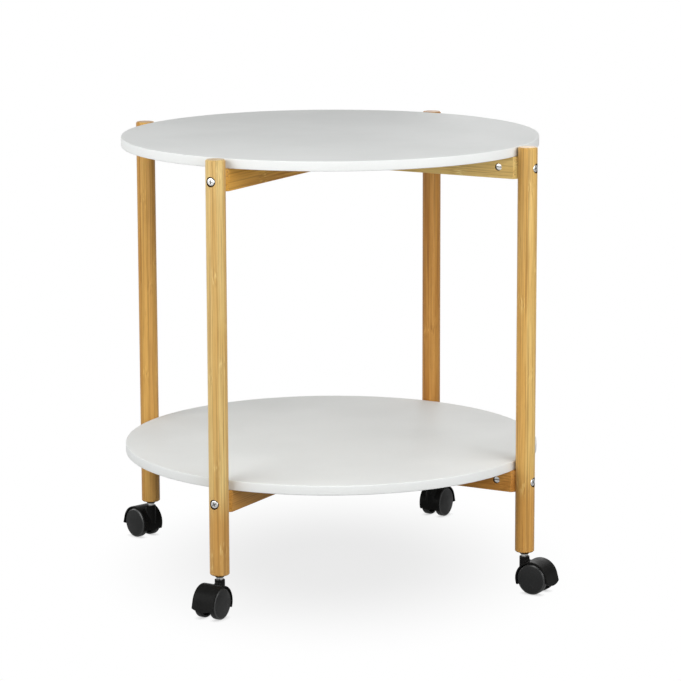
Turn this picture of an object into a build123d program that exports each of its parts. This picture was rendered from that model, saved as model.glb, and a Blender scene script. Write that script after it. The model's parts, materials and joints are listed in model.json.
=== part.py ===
from build123d import *
import os
from math import asin, cos, degrees, radians, sin, sqrt, tan

# A rolling side table: two round panels on crossed rails between four rod legs, on twin-wheel casters.
# Millimetres, +Z up, origin on the floor below the centre of the panels.

# Panels
panel_d = 480.0
panel_t = 11.0
panel_edge_r = 1.0
shelf_drop = 358.0  # from the table's top surface down to the shelf's

# Legs
leg_d = 22.0
leg_len = 463.0
leg_end_chamfer = 1.2
rim_gap = 1.2  # between a panel's rim and each leg

# Rails, two crossing under each panel
rail_h = 25.0
rail_w = 18.0
rail_end_chamfer = 4.0
rail_edge_r = 0.8
rail_seat_clearance = 0.05  # in the hollowed end that seats on the leg
lap_clearance = 0.1  # in the half lap where two rails cross

# Bolts through the legs into the rails' ends
bolt_d = 5.0
bolt_len = 50.0
bolt_head_d = 9.4
bolt_head_h = 3.2
bolt_head_round = 1.4
bolt_head_sink = 0.8  # the head's top below the leg's surface
bolt_cross_span = 5.2
bolt_cross_w = 1.2
bolt_cross_depth = 1.6
bolt_hole_clearance = 0.25
bolt_tip_room = 1.0
counterbore_clearance = 1.8
thread_clearance = 0.05

# Barrel nuts across the rails
nut_d = 8.0
nut_inset = 32.0  # from the leg's axis
nut_recess = 1.5  # the nut's slotted end below the rail's side face
nut_slot_w = 1.2
nut_slot_depth = 1.0
nut_clearance = 0.05

# Screws up through the rails into the panels
screw_d = 3.5
screw_head_d = 7.0
screw_head_h = 2.4
screw_tip_h = 2.0
screw_bite = 7.5  # into the panel
screw_reach = 130.0  # from the table's centre
screw_sink = 5.0  # the head's seat above the rail's underside
screw_hole_clearance = 0.25
screw_head_clearance = 0.4
screw_tip_room = 0.5

# Wheels, two on each caster
wheel_d = 35.0
wheel_rim_w = 7.4
wheel_rim_t = 2.4
wheel_wall = 2.0
wheel_dome = 1.1
wheel_bevel_r = 1.7
wheel_bevel_w = 1.0
wheel_inner_chamfer = 0.6
wheel_ribs = 6
wheel_rib_t = 1.2
wheel_rib_inset = 1.5
wheel_side_gap = 0.65  # from the wheel's rim to the stem column between the wheels
hub_d = 9.2
hub_gap = 0.3

# Axles
axle_d = 5.0
axle_end_gap = 0.3
axle_clearance = 0.05
axle_press_clearance = 0.01
bead_h = 0.35  # the hub's snap bead, in a groove round the axle
bead_w = 1.0
bead_side_gap = 0.15

# Caster housings: a hood over both wheels, a web between them and a column for the stem
trail = 15.5
web_t = 5.0
axle_boss_rise = 0.2
hood_wall = 1.8
hood_gap = 1.0
hood_side_cover = 0.2
hood_edge_r = 0.8
hood_flare_angle = 15.0  # above the axle, where the trailing wall leaves the round
hood_skirt_lead = 7.5  # the hood's leading lower edge below the axle
hood_skirt_side = 3.0  # its trailing lower edge, arched from the sides to the middle
hood_skirt_middle = 6.5
neck_d = 11.5
neck_rise = 2.7  # the neck's top above the hood's
neck_edge_r = 0.6
neck_blend_r = 2.0
column_floor = 3.0

# Stems, their clips and their sockets in the legs' feet
stem_d = 8.0
stem_bare = 2.7  # between the socket and the housing's neck
stem_in_socket = 17.0
stem_in_housing = 19.5
stem_end_chamfer = 0.6
stem_end_gap = 0.2
swivel_clearance = 0.05
clip_t = 1.0
clip_bite = 0.5  # into the stem
clip_proud = 0.5  # out of the stem
clip_lift = 4.0  # above the stem's lower end
clip_mouth = 4.5
clip_clearance = 0.08
socket_d = 10.6
socket_end_wall = 2.0
socket_flange_d = 12.6
socket_flange_tip_d = 9.6
socket_flange_h = 2.8
socket_clearance = 0.05

# Where each leg stands, and the heading in which its caster trails at rest, in degrees from +X
legs = {"front_left": 225.0, "front_right": 315.0, "back_left": 135.0, "back_right": 45.0}
headings = {"front_left": 224.0, "front_right": 313.0, "back_left": 117.0, "back_right": 42.0}

# Sizes that follow from the ones above
panel_r = panel_d / 2
leg_r = leg_d / 2
leg_circle_r = panel_r + rim_gap + leg_r
wheel_r = wheel_d / 2
axle_z = wheel_r
hood_inner_r = wheel_r + hood_gap
hood_r = hood_inner_r + hood_wall
neck_r = neck_d / 2
neck_top = axle_z + hood_r + neck_rise
stem_r = stem_d / 2
leg_foot = neck_top + stem_bare + socket_flange_h
table_h = leg_foot + leg_len
levels = {"upper": table_h - panel_t, "lower": table_h - shelf_drop - panel_t}
rail_end_w = rail_w - 2 * rail_end_chamfer
rail_len = 2 * (leg_circle_r - sqrt(leg_r**2 - (rail_end_w / 2) ** 2))
bolt_seat = leg_r - bolt_head_sink - bolt_head_h
bolt_tip = leg_circle_r + bolt_seat - bolt_len
nut_at = leg_circle_r - nut_inset
nut_len = rail_w - 2 * nut_recess
wheel_inner = neck_r + wheel_side_gap
wheel_outer = wheel_inner + wheel_rim_w
wheel_cavity = wheel_outer - wheel_wall
hub_end = web_t / 2 + axle_boss_rise + hub_gap
bead_at = (hub_end + wheel_cavity) / 2
hood_half_w = wheel_outer + hood_side_cover
stem_foot = neck_top - stem_in_housing
stem_head = leg_foot + stem_in_socket
clip_at = stem_foot + clip_lift


def rod(radius, start, end):
    """A cylinder along Z from one height to another."""
    return Pos(0, 0, start) * Cylinder(radius, end - start, align=(Align.CENTER, Align.CENTER, Align.MIN))


def cross_rod(radius, start, end):
    """A cylinder along X from one place to another."""
    return Rot(0, 90, 0) * rod(radius, start, end)


def turned(*outline):
    """A solid turned about Z from the lines of a closed outline in radius and height."""
    return revolve(Plane.XZ * make_face(outline), Axis.Z)


def panel(underside):
    """A disc with eased edges and blind holes for its screws."""
    disc = rod(panel_r, underside, underside + panel_t)
    disc = fillet(disc.edges(), panel_edge_r)
    hole = rod(screw_d / 2 + thread_clearance, underside, underside + screw_bite + screw_tip_room)
    for angle in legs.values():
        disc -= Rot(0, 0, angle) * Pos(screw_reach, 0, 0) * hole
    return disc


def leg():
    """A rod on its own axis, +X outwards, with counterbored bolt holes and a bore for the socket."""
    body = chamfer(rod(leg_r, leg_foot, table_h).edges(), leg_end_chamfer)
    hole = cross_rod(bolt_d / 2 + bolt_hole_clearance, -leg_d, leg_d)
    counterbore = cross_rod((bolt_head_d + counterbore_clearance) / 2, bolt_seat, leg_d)
    for underside in levels.values():
        body -= Pos(0, 0, underside - rail_h / 2) * (hole + counterbore)
    bore_top = stem_head + socket_end_wall + socket_clearance
    return body - rod(socket_d / 2 + socket_clearance, leg_foot, bore_top)


def rail(lapped_above, nut_side):
    """A bar along X, its top at height 0, notched at its centre and drilled for its fasteners."""
    bar = Pos(0, 0, -rail_h / 2) * Box(rail_len, rail_w, rail_h)
    bar = chamfer(bar.edges().filter_by(Axis.Z), rail_end_chamfer)
    bar = fillet(bar.edges().filter_by(Axis.X), rail_edge_r)
    lap_h = (rail_h + lap_clearance) / 2
    lap_z = -lap_h / 2 if lapped_above else lap_h / 2 - rail_h
    bar -= Pos(0, 0, lap_z) * Box(rail_w + 2 * lap_clearance, 2 * rail_w, lap_h)
    seat = rod(leg_r + rail_seat_clearance, -2 * rail_h, rail_h)
    bolt_hole = cross_rod(bolt_d / 2 + bolt_hole_clearance, bolt_tip - bolt_tip_room, leg_circle_r)
    nut_hole = Rot(-90 * nut_side, 0, 0) * rod(nut_d / 2 + nut_clearance, -nut_len / 2 - nut_clearance, rail_w)
    screw_hole = rod(screw_d / 2 + screw_hole_clearance, -rail_h, 0)
    screw_hole += rod((screw_head_d + screw_head_clearance) / 2, -rail_h, screw_sink - rail_h)
    cuts = Pos(leg_circle_r, 0, 0) * seat + Pos(screw_reach, 0, 0) * screw_hole
    cuts += Pos(0, 0, -rail_h / 2) * (bolt_hole + Pos(nut_at, 0, 0) * nut_hole)
    return bar - cuts - mirror(cuts, about=Plane.YZ)


def bolt():
    """A pan-head bolt along Z, its head's seat at height 0, with a cross recess."""
    head = rod(bolt_head_d / 2, 0, bolt_head_h)
    head = fillet(head.edges().sort_by(Axis.Z)[-1], bolt_head_round)
    slot = Pos(0, 0, bolt_head_h - bolt_cross_depth / 2) * Box(bolt_cross_span, bolt_cross_w, bolt_cross_depth)
    return head + rod(bolt_d / 2, -bolt_len, 0) - slot - Rot(0, 0, 90) * slot


def barrel_nut():
    """A cross dowel along Z with its thread along X and a slot in its upper end."""
    body = rod(nut_d / 2, -nut_len / 2, nut_len / 2)
    body -= cross_rod(bolt_d / 2 + thread_clearance, -nut_d, nut_d)
    return body - Pos(0, 0, (nut_len - nut_slot_depth) / 2) * Box(2 * nut_d, nut_slot_w, nut_slot_depth)


def panel_screw():
    """A wood screw along Z, its head's seat at height 0."""
    radius = screw_d / 2
    top = rail_h - screw_sink + screw_bite
    outline = Polyline(
        (0, top),
        (radius, top - screw_tip_h),
        (radius, 0),
        (screw_head_d / 2, 0),
        (radius, -screw_head_h),
        (0, -screw_head_h),
        close=True,
    )
    return turned(outline)


def socket():
    """The sleeve in a leg's foot, with a tapered flange below it, on the stem's axis."""
    bore = stem_r + swivel_clearance
    roof = stem_head + stem_end_gap
    outline = Polyline(
        (bore, leg_foot - socket_flange_h),
        (socket_flange_tip_d / 2, leg_foot - socket_flange_h),
        (socket_flange_d / 2, leg_foot),
        (socket_d / 2, leg_foot),
        (socket_d / 2, stem_head + socket_end_wall),
        (0, stem_head + socket_end_wall),
        (0, roof),
        (bore, roof),
        close=True,
    )
    return turned(outline)


def stem():
    """The steel pin that joins a leg to its caster, grooved for the clip."""
    pin = chamfer(rod(stem_r, stem_foot, stem_head).edges(), stem_end_chamfer)
    half = clip_t / 2 + clip_clearance
    groove = rod(stem_d, clip_at - half, clip_at + half) - rod(stem_r - clip_bite, stem_foot, stem_head)
    return pin - groove


def clip():
    """The open snap ring in a stem's groove."""
    ring = rod(stem_r + clip_proud, clip_at - clip_t / 2, clip_at + clip_t / 2)
    ring -= rod(stem_r - clip_bite + clip_clearance, stem_foot, stem_head)
    return ring - Pos(stem_d / 2, 0, clip_at) * Box(stem_d, clip_mouth, 2 * clip_t)


def hood_outline(radius):
    """The hood's side view: round over the wheels, with a straight trailing wall that flares out."""
    base = axle_z - hood_skirt_lead - hood_wall
    dip = asin((axle_z - base) / radius)
    flare = radians(hood_flare_angle)
    lead = (trail - radius * cos(dip), base)
    tangent = (trail + radius * cos(flare), axle_z + radius * sin(flare))
    foot = (tangent[0] + (tangent[1] - base) * tan(flare), base)
    arc = CenterArc((trail, axle_z), radius, hood_flare_angle, 180 + degrees(dip) - hood_flare_angle)
    return Plane.XZ * make_face([arc, Line(lead, foot), Line(foot, tangent)])


def housing():
    """A caster's hood, web and stem column, on the stem's axis and trailing along +X."""
    hood = extrude(hood_outline(hood_r), hood_half_w, both=True)
    rims = [e for e in hood.edges() if abs(e.center().Y) > hood_half_w / 2 and e.center().Z > axle_z]
    column = rod(neck_r, stem_foot - stem_end_gap - column_floor, neck_top)
    well = Pos(0, -web_t / 2, 0) * extrude(hood_outline(hood_inner_r), hood_half_w) - column
    hood = fillet(rims, hood_edge_r) + fillet(column.edges().sort_by(Axis.Z)[-1], neck_edge_r)
    seam = [e for e in hood.edges() if e.geom_type == GeomType.BSPLINE and abs(e.center().Y) < neck_d]
    hood = fillet(seam, neck_blend_r) - well - mirror(well, about=Plane.XZ)
    boss_half = web_t / 2 + axle_boss_rise
    hood += Pos(trail, 0, axle_z) * Rot(-90, 0, 0) * rod(hub_d / 2, -boss_half, boss_half)
    side = axle_z - hood_skirt_side
    middle = axle_z - hood_skirt_middle
    skirt = ThreePointArc((-hood_half_w, side), (0, middle), (hood_half_w, side))
    low = (hood_half_w, -wheel_r), (-hood_half_w, -wheel_r)
    below = Polyline((hood_half_w, side), *low, (-hood_half_w, side))
    hood -= Pos(trail, 0, 0) * extrude(Plane.YZ * make_face([skirt, below]), 2 * wheel_d)
    lead_cut = Box(2 * wheel_d, 2 * wheel_d, wheel_d)
    hood -= Pos(trail - wheel_d, 0, axle_z - hood_skirt_lead - wheel_r) * lead_cut
    hood -= rod(stem_r + swivel_clearance, stem_foot - stem_end_gap, neck_top)
    half = clip_t / 2 + clip_clearance
    hood -= rod(stem_r + clip_proud + clip_clearance, clip_at - half, clip_at + half)
    axle_hole = rod(axle_d / 2 + axle_press_clearance, -web_t, web_t)
    return hood - Pos(trail, 0, axle_z) * Rot(-90, 0, 0) * axle_hole


def axle():
    """The pin through a housing's web, along Z from its middle, grooved for the hubs' beads."""
    half = wheel_cavity - axle_end_gap
    pin = rod(axle_d / 2, -half, half)
    groove_half = bead_w / 2 + bead_side_gap
    groove = rod(axle_d, -groove_half, groove_half) - rod(axle_d / 2 - bead_h, -groove_half, groove_half)
    return pin - Pos(0, 0, bead_at) * groove - Pos(0, 0, -bead_at) * groove


def wheel():
    """A cup-shaped wheel turned about Z, its height counted from the middle of the caster."""
    bore = axle_d / 2 + axle_clearance
    rim_inner_r = wheel_r - wheel_rim_t
    face_r = wheel_r - wheel_bevel_r
    crown = (0, wheel_outer + wheel_dome)
    dome = TangentArc(crown, (face_r, wheel_outer), tangent=(1, 0))
    section = Polyline(
        (face_r, wheel_outer),
        (wheel_r, wheel_outer - wheel_bevel_w),
        (wheel_r, wheel_inner + wheel_inner_chamfer),
        (wheel_r - wheel_inner_chamfer, wheel_inner),
        (rim_inner_r, wheel_inner),
        (rim_inner_r, wheel_cavity),
        (hub_d / 2, wheel_cavity),
        (hub_d / 2, hub_end),
        (bore, hub_end),
        (bore, bead_at - bead_w / 2),
        (bore - bead_h, bead_at - bead_w / 2),
        (bore - bead_h, bead_at + bead_w / 2),
        (bore, bead_at + bead_w / 2),
        (bore, wheel_cavity),
        (0, wheel_cavity),
        crown,
    )
    body = turned(dome, section)
    rib_start = wheel_inner + wheel_rib_inset
    rib_h = wheel_cavity - rib_start + wheel_wall / 2
    rib_len = rim_inner_r - hub_d / 2 + wheel_rib_t
    rib_mid = (rim_inner_r + hub_d / 2) / 2
    rib = Pos(rib_mid, 0, rib_start + rib_h / 2) * Box(rib_len, wheel_rib_t, rib_h)
    for turn in range(wheel_ribs):
        body += Rot(0, 0, turn * 360 / wheel_ribs) * rib
    return body


nodes = {}
nodes["top_panel"] = panel(levels["upper"])
nodes["shelf_panel"] = panel(levels["lower"])

# The first rail of each level runs front left to back right, the second front right to back left
rail_turns = {"a": 45.0, "b": -45.0}
nut_sides = {"a": 1, "b": -1}
for level, underside in levels.items():
    middle = Pos(0, 0, underside - rail_h / 2)
    nuts = []
    for mark, turn in rail_turns.items():
        side = nut_sides[mark]
        nodes[f"{level}_rail_{mark}"] = Pos(0, 0, underside) * Rot(0, 0, turn) * rail(mark == "b", side)
        for end in (nut_at, -nut_at):
            nuts.append(middle * Rot(0, 0, turn) * Pos(end, 0, 0) * Rot(-90 * side, 0, 0) * barrel_nut())
    at_legs = [Rot(0, 0, angle) for angle in legs.values()]
    bolts = [middle * at * Pos(leg_circle_r + bolt_seat, 0, 0) * Rot(0, 90, 0) * bolt() for at in at_legs]
    screw_seat = Pos(screw_reach, 0, underside - rail_h + screw_sink)
    nodes[f"{level}_leg_bolts"] = Compound(bolts)
    nodes[f"{level}_barrel_nuts"] = Compound(nuts)
    nodes[f"{level}_panel_screws"] = Compound([at * screw_seat * panel_screw() for at in at_legs])

clips = []
for corner, angle in legs.items():
    at_leg = Rot(0, 0, angle) * Pos(leg_circle_r, 0, 0)
    nodes[f"{corner}_leg"] = at_leg * leg()
    nodes[f"{corner}_socket"] = at_leg * socket()
    nodes[f"{corner}_stem"] = at_leg * stem()
    clips.append(at_leg * clip())
    caster = at_leg * Rot(0, 0, headings[corner] - angle)
    hub = caster * Pos(trail, 0, axle_z)
    nodes[f"{corner}_housing"] = caster * housing()
    nodes[f"{corner}_axle"] = hub * Rot(-90, 0, 0) * axle()
    nodes[f"{corner}_wheel_a"] = hub * Rot(-90, 0, 0) * wheel()
    nodes[f"{corner}_wheel_b"] = hub * Rot(90, 0, 0) * wheel()
nodes["stem_clips"] = Compound(clips)

os.makedirs("parts", exist_ok=True)
for name, shape in nodes.items():
    export_step(shape, f"parts/{name}.step")
print(len(nodes), "nodes, height", round(table_h, 2))
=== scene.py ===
"""A round two-tier side table on twin-wheel casters, dressed over its packed construction.

Shapes are in millimetres, in the frame of the construction, and become metres when a piece is settled.
"""

import json
import logging
import math
from collections.abc import Sequence
from dataclasses import dataclass
from enum import Enum

import bmesh
import bpy
from mathutils import Matrix, Vector


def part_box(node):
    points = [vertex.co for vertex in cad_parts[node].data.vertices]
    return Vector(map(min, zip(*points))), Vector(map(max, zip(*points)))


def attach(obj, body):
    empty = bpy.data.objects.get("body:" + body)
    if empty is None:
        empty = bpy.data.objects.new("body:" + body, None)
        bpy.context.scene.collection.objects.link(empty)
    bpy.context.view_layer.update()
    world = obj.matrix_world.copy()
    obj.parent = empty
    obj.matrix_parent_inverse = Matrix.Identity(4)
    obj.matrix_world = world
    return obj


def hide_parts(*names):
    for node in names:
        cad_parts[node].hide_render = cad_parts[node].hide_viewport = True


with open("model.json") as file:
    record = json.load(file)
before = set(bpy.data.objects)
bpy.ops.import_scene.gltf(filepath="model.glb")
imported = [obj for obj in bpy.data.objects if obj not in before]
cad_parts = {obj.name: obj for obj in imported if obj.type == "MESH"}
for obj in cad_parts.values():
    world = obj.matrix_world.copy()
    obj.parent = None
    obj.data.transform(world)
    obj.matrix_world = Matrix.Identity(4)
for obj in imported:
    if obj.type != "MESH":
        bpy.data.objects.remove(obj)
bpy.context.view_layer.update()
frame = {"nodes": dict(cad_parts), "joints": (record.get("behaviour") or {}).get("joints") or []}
LOG = logging.getLogger("side_table")

MM = 0.001
ON_AXIS = 1e-6  # a smaller radius is a pole
ARC_STEPS = 5  # straight runs in a rounded corner
CREASE = 32.0  # degrees past which an edge stays sharp
TOOL_LIFT = 0.3  # how far a recess's tool stands out of its mouth
NO_SHELF_SHADE = -1.0  # a shade height below the floor, so that no painted shade falls on the wood
WHITE = (1.0, 1.0, 1.0, 1.0)
SURFACE = {"Color": "Color", "Roughness": "Float", "Height": "Float"}

Mesh = bpy.types.Mesh
Material = bpy.types.Material
NodeTree = bpy.types.NodeTree
Socket = bpy.types.NodeSocket
Inputs = dict[str | int, object]
Outline = list[tuple[float, float]]
Span = tuple[float, float]
Triple = tuple[float, float, float]
Colour = tuple[float, float, float]


class Corner(Enum):
    """The table's four corners, as the construction names them."""

    FRONT_LEFT = "front_left"
    FRONT_RIGHT = "front_right"
    BACK_LEFT = "back_left"
    BACK_RIGHT = "back_right"


class Level(Enum):
    """The two levels at which rails and fasteners sit."""

    UPPER = "upper"
    LOWER = "lower"


class Run(Enum):
    """The two rails of a level: A runs front left to back right, B front right to back left."""

    A = "a"
    B = "b"

    @property
    def bearing(self) -> float:
        """The rail's direction in plan, in degrees."""
        return 45.0 if self is Run.A else -45.0

    @property
    def hand(self) -> int:
        """The side on which the rail's nuts show: 1 to the left of its direction, -1 to the right."""
        return 1 if self is Run.A else -1


class Side(Enum):
    """The two wheels of a caster: A to the left of its heading, B to the right."""

    A = "a"
    B = "b"


class Join(Enum):
    """How one closed mesh meets another."""

    ADD = "UNION"
    CUT = "DIFFERENCE"


class Slot(Enum):
    """The record's material slots, one named for each of the scene's pieces."""

    PANEL = "panel_white"
    BAMBOO = "bamboo"
    STEEL = "zinc_steel"
    WHEEL = "wheel_black"
    SOCKET = "socket_dark"


# Shapes


def corners_of(node: str) -> tuple[Vector, Vector]:
    """Lowest and highest corner of a node of the construction, in millimetres."""
    low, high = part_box(node)
    return low / MM, high / MM


def eased(corners: Sequence[Triple]) -> Outline:
    """Round the corners of an open outline.

    Args:
        corners: the two coordinates of each corner and the radius that rounds it, 0 at both ends.

    Returns:
        The outline's points in order.
    """
    points: Outline = []
    for index, (x, y, radius) in enumerate(corners):
        if radius == 0:
            points.append((x, y))
            continue
        here = Vector((x, y))
        back = (Vector(corners[index - 1][:2]) - here).normalized()
        ahead = (Vector(corners[index + 1][:2]) - here).normalized()
        half = back.angle(ahead) / 2
        centre = here + (back + ahead).normalized() * radius / math.sin(half)
        first = here + back * radius / math.tan(half) - centre
        final = here + ahead * radius / math.tan(half) - centre
        sweep = first.angle(final)
        for step in range(ARC_STEPS + 1):
            share = step / ARC_STEPS
            arm = first * math.sin((1 - share) * sweep) + final * math.sin(share * sweep)
            points.append(tuple(centre + arm / math.sin(sweep)))
    return points


def closed_mesh(form: bmesh.types.BMesh) -> Mesh:
    """Turn a closed form's faces outwards and keep it as a mesh.

    Args:
        form: the form; it is used up.

    Returns:
        The mesh.
    """
    bmesh.ops.recalc_face_normals(form, faces=form.faces)
    mesh = bpy.data.meshes.new("form")
    form.to_mesh(mesh)
    form.free()
    return mesh


def lofted(rows: Sequence[Sequence[Vector]], ring: bool = False) -> Mesh:
    """Join rows of points with faces.

    Args:
        rows: the rows in order, each of one point, which is a pole, or of as many as the others.
        ring: whether the last row joins the first, as in a sleeve; else both ends are closed.

    Returns:
        A closed mesh.
    """
    form = bmesh.new()
    loops = [[form.verts.new(point) for point in row] for row in rows]
    ends = [] if ring else [loop for loop in (loops[0], loops[-1]) if len(loop) > 1]
    if ring:
        loops.append(loops[0])
    for lower, upper in zip(loops, loops[1:]):
        for index in range(max(len(lower), len(upper))):
            corners = ((lower, index), (lower, index + 1), (upper, index + 1), (upper, index))
            form.faces.new(dict.fromkeys(loop[corner % len(loop)] for loop, corner in corners))
    for end in ends:
        form.faces.new(end)
    return closed_mesh(form)


def turned(outline: Outline, segments: int, ring: bool = False) -> Mesh:
    """Turn an outline of radius and height about the Z axis.

    Args:
        outline: the points in order; one on the axis becomes a pole.
        segments: how many faces go round.
        ring: whether the last point joins the first, as in a sleeve.

    Returns:
        A closed mesh.
    """
    rows = []
    for radius, height in outline:
        count = segments if radius > ON_AXIS else 1
        turns = [math.tau * index / segments for index in range(count)]
        rows.append([Vector((radius * math.cos(a), radius * math.sin(a), height)) for a in turns])
    return lofted(rows, ring)


def bar(size: Vector, draft: float = 0.0) -> Mesh:
    """A block that stands on the origin's height, centred in plan.

    Args:
        size: its length, width and height.
        draft: how far its top reaches out past its foot on each side.

    Returns:
        A closed mesh.
    """
    rings = []
    for height, spread in ((0.0, 0.0), (size.z, draft)):
        x = size.x / 2 + spread
        y = size.y / 2 + spread
        rings.append([Vector((a * x, b * y, height)) for a, b in ((-1, -1), (1, -1), (1, 1), (-1, 1))])
    return lofted(rings)


def rod(radius: float, low: float, high: float, ease: float = 0.0, segments: int = 64) -> Mesh:
    """A round bar along Z.

    Args:
        radius: its radius.
        low: the height of its foot.
        high: the height of its top.
        ease: the chamfer of both ends.
        segments: how many faces go round.

    Returns:
        A closed mesh.
    """
    foot = [(0, low), (radius - ease, low), (radius, low + ease)]
    top = [(radius, high - ease), (radius - ease, high), (0, high)]
    return turned(list(dict.fromkeys(foot + top)), segments)


def moved(mesh: Mesh, place: Matrix) -> Mesh:
    """The same mesh, put in its place."""
    mesh.transform(place)
    return mesh


def gathered(meshes: Sequence[Mesh]) -> Mesh:
    """Several closed meshes as one.

    Args:
        meshes: the meshes; they are used up.

    Returns:
        The one mesh.
    """
    form = bmesh.new()
    for mesh in meshes:
        form.from_mesh(mesh)
        bpy.data.meshes.remove(mesh)
    return closed_mesh(form)


def finished(mesh: Mesh, *finishes: Material) -> Mesh:
    """Give a mesh its finishes.

    Args:
        mesh: the mesh to finish.
        finishes: its materials, the first of them for each face that bears no other's number.

    Returns:
        The same mesh.
    """
    for finish in finishes:
        mesh.materials.append(finish)
    return mesh


def shaded(mesh: Mesh) -> Mesh:
    """Shade a mesh smooth between its creases.

    Args:
        mesh: the mesh to shade.

    Returns:
        The same mesh.
    """
    mesh.shade_smooth()
    mesh.set_sharp_from_angle(angle=math.radians(CREASE))
    return mesh


def put(name: str, data: bpy.types.ID) -> bpy.types.Object:
    """Put a new object into the scene.

    Args:
        name: the object's name.
        data: its mesh, lamp or camera.

    Returns:
        The object.
    """
    item = bpy.data.objects.new(name, data)
    bpy.context.scene.collection.objects.link(item)
    return item


def made_by(holder: bpy.types.Object, *tools: bpy.types.Object) -> Mesh:
    """The mesh that an object's modifiers make.

    Args:
        holder: the object; it is used up with its own mesh.
        tools: the objects that its modifiers work with; they are used up too.

    Returns:
        The new mesh.
    """
    graph = bpy.context.evaluated_depsgraph_get()
    mesh = bpy.data.meshes.new_from_object(holder.evaluated_get(graph))
    holder.modifiers.clear()
    for used in (holder, *tools):
        data = used.data
        bpy.data.objects.remove(used)
        bpy.data.meshes.remove(data)
    return mesh


def joined(base: Mesh, tool: Mesh, how: Join, mark: int = 0) -> Mesh:
    """Add a closed mesh to another, or cut it away.

    Args:
        base: the mesh to change; it is used up.
        tool: the mesh to add or cut with; it is used up.
        how: whether the tool adds or cuts.
        mark: the number of the base's finish that the tool's faces take.

    Returns:
        The new mesh.
    """
    tool.polygons.foreach_set("material_index", [mark] * len(tool.polygons))
    holders = [put("joining", mesh) for mesh in (base, tool)]
    step = holders[0].modifiers.new("join", "BOOLEAN")
    step.operation = how.value
    step.solver = "EXACT"
    step.object = holders[1]
    return made_by(*holders)


def about_z(degrees: float) -> Matrix:
    """A turn about the upright axis."""
    return Matrix.Rotation(math.radians(degrees), 4, "Z")


def lying(degrees: float, axis: str, place: Triple = (0, 0, 0)) -> Matrix:
    """A turn about one axis, then a move to a place."""
    return Matrix.Translation(place) @ Matrix.Rotation(math.radians(degrees), 4, axis)


def cross_recess(span: float, width: float, depth: float, draft: float) -> Mesh:
    """A tapered cross to cut into a fastener's head.

    Args:
        span: the cross's length at its mouth.
        width: the width of its arms at the mouth.
        depth: how deep it goes below height 0.
        draft: how far each wall leans in on the way down.

    Returns:
        A closed tool.
    """
    size = Vector((span - 2 * draft, width - 2 * draft, depth + TOOL_LIFT))
    cross = joined(bar(size, draft), moved(bar(size, draft), about_z(90)), Join.ADD)
    return moved(cross, Matrix.Translation((0, 0, -depth)))


# Node trees


class Sheet:
    """A node tree, with short ways to add nodes and join them."""

    def __init__(self, tree: NodeTree) -> None:
        """Take over a tree and clear it."""
        self.tree = tree
        tree.nodes.clear()

    def add(self, kind: str, inputs: Inputs | None = None, **options: object) -> bpy.types.Node:
        """Add a node.

        Args:
            kind: the node's type.
            inputs: values or sockets for the node's inputs, by name or number.
            options: settings of the node itself.

        Returns:
            The node.
        """
        node = self.tree.nodes.new(kind)
        for name, value in options.items():
            setattr(node, name, value)
        for key, value in (inputs or {}).items():
            if isinstance(value, bpy.types.NodeSocket):
                self.tree.links.new(value, node.inputs[key])
            else:
                node.inputs[key].default_value = value
        return node

    def math(self, how: str, *values: object) -> Socket:
        """The result of a sum on one, two or three values."""
        return self.add("ShaderNodeMath", dict(enumerate(values)), operation=how).outputs[0]

    def noise(self, vector: Socket, scale: object, detail: float, drawn: float = 1.0) -> Socket:
        """Soft noise between 0 and 1.

        Args:
            vector: where it is taken.
            scale: how fine it is.
            detail: how many finer noises it holds.
            drawn: its scale along Z, as a share of that across.

        Returns:
            The noise.
        """
        drawing = self.add("ShaderNodeVectorMath", {0: vector, 1: (1.0, 1.0, drawn)}, operation="MULTIPLY")
        inputs = {"Vector": drawing.outputs[0], "Scale": scale, "Detail": detail}
        return self.add("ShaderNodeTexNoise", inputs).outputs[0]

    def between(self, value: Socket, low: object, high: object) -> Socket:
        """A smooth step from 0 at one value to 1 at another."""
        inputs = {"Value": value, "From Min": low, "From Max": high}
        return self.add("ShaderNodeMapRange", inputs, interpolation_type="SMOOTHSTEP").outputs[0]

    def off_centre(self, value: Socket) -> Socket:
        """How far a value is from the middle between two whole numbers."""
        return self.math("ABSOLUTE", self.math("SUBTRACT", self.math("FRACT", value), 0.5))

    def mix(self, share: object, first: object, second: object) -> Socket:
        """Two colours mixed by a share of the second."""
        return self.add("ShaderNodeMix", {0: share, 6: first, 7: second}, data_type="RGBA").outputs[2]


def new_group(name: str, kind: str, inputs: dict[str, str], outputs: dict[str, str]) -> Sheet:
    """Start a node group.

    Args:
        name: the group's name.
        kind: the type of its tree.
        inputs: what each named input takes, such as a Color or a Float.
        outputs: what each named output gives.

    Returns:
        The group's empty sheet.
    """
    tree = bpy.data.node_groups.new(name, kind)
    for way, sockets in (("INPUT", inputs), ("OUTPUT", outputs)):
        for label, sort in sockets.items():
            tree.interface.new_socket(label, in_out=way, socket_type=f"NodeSocket{sort}")
    return Sheet(tree)


@dataclass(frozen=True)
class Grain:
    """A mask of noise drawn out along the wood: the noise, where it starts and is full, and its strength."""

    scale: float
    detail: float
    drawn: float
    starts: float
    full: float
    strength: float

    def mask(self, sheet: Sheet, vector: Socket) -> Socket:
        """The mask at a place in the wood."""
        return sheet.between(sheet.noise(vector, self.scale, self.detail, self.drawn), self.starts, self.full)


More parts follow.
